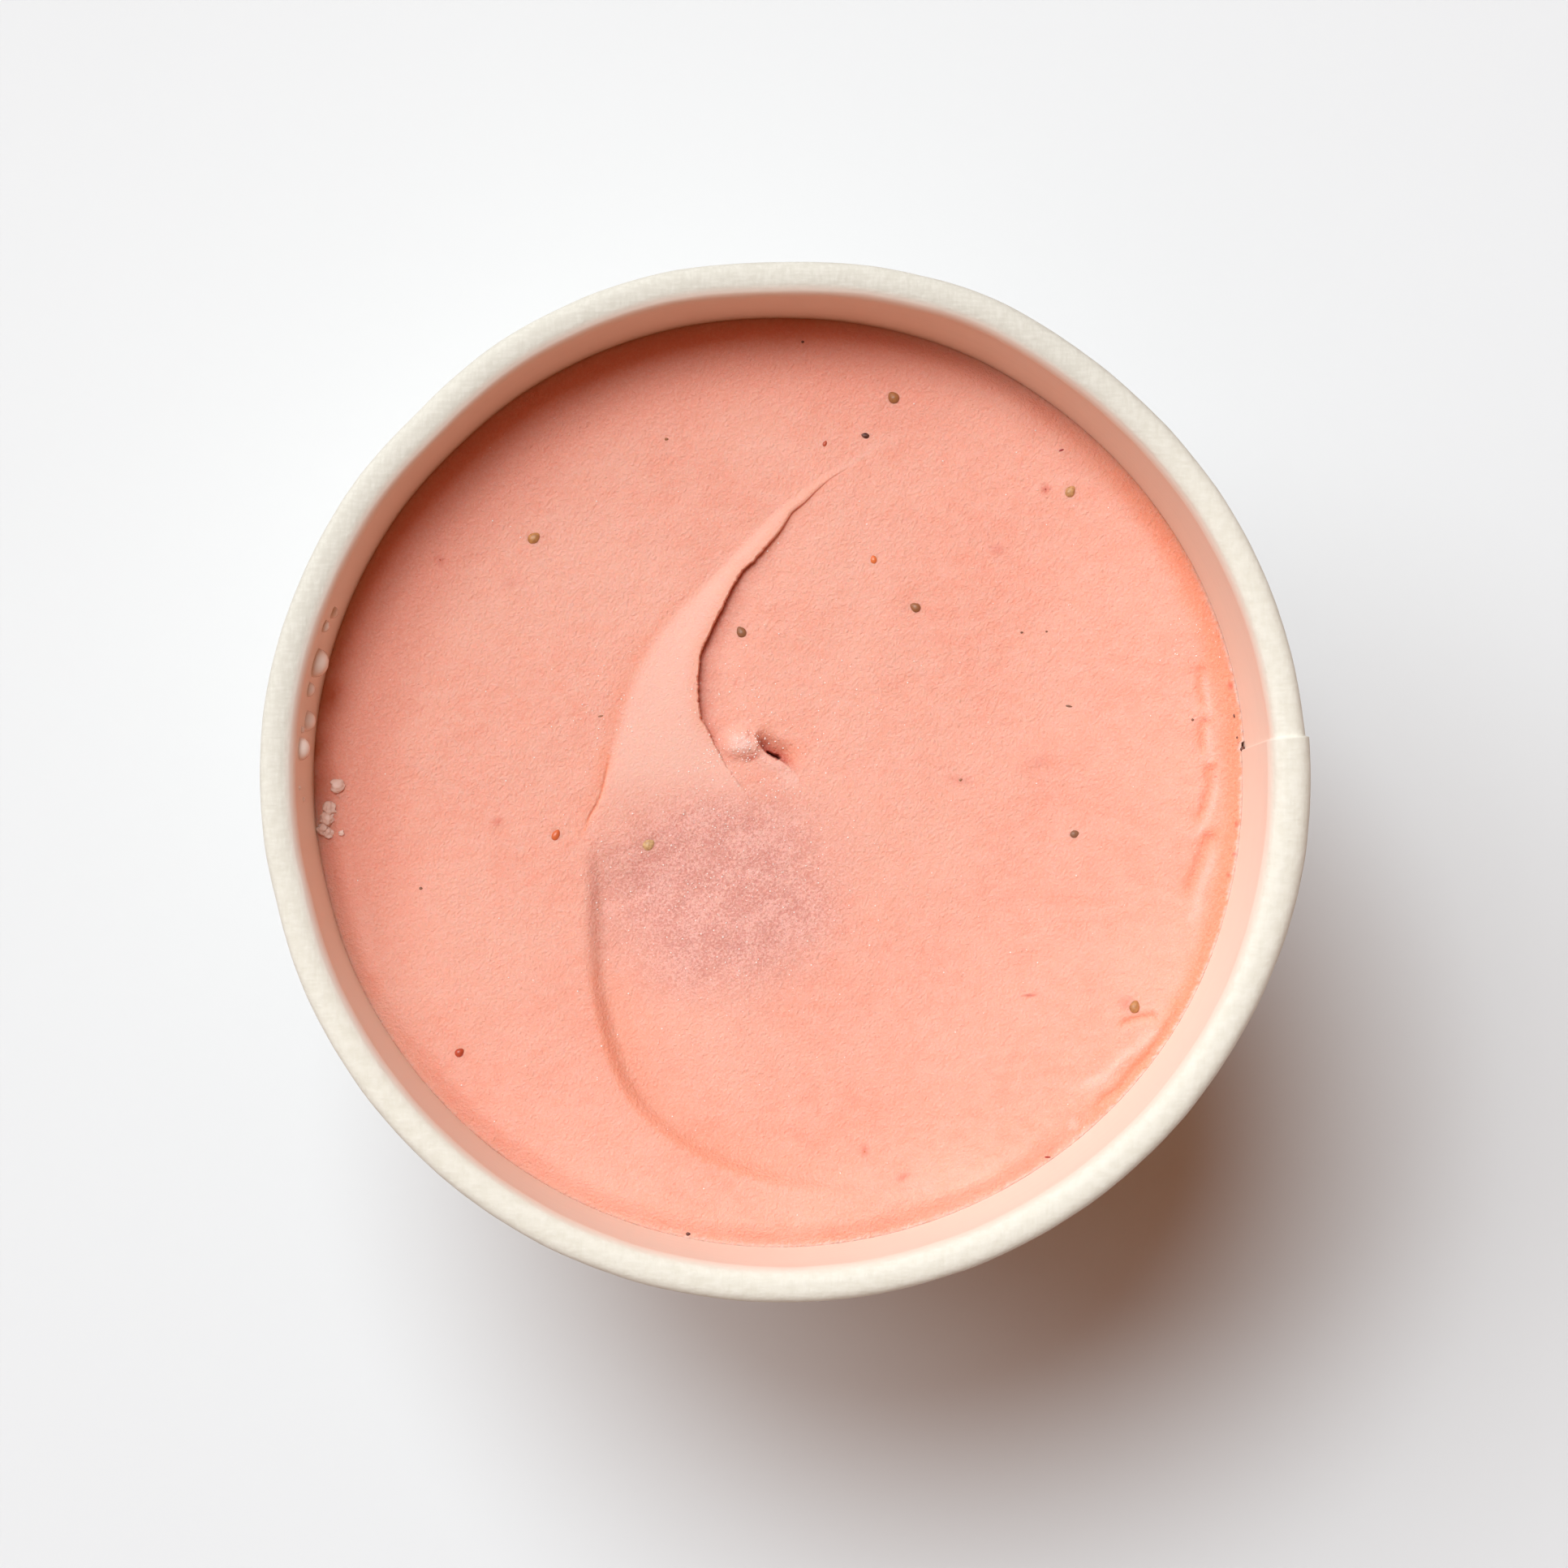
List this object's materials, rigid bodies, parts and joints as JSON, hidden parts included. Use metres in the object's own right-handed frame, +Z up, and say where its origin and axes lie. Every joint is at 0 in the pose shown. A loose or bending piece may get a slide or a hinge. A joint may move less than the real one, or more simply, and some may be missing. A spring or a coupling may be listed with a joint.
{
  "type": "ice cream pint",
  "caption": "Open round paper tub with a rolled rim, filled to just below the rim with strawberry ice cream.",
  "frame": {"origin": "middle of the tub's foot, on the surface it stands on", "axes": "+Z up along the tub's axis; +X to the right and +Y to the top of the picture, which looks straight down"},
  "size_m": [0.0983, 0.0977, 0.0983],
  "materials": {
    "board": "off-white paper board with fine fibres",
    "ice_cream": "pale strawberry pink, softly shining, with seeds and ice crystals"
  },
  "bodies": {
    "root": {"cup_side": "board", "cup_bottom": "board", "ice_cream": "ice_cream"}
  },
  "joints": []
}
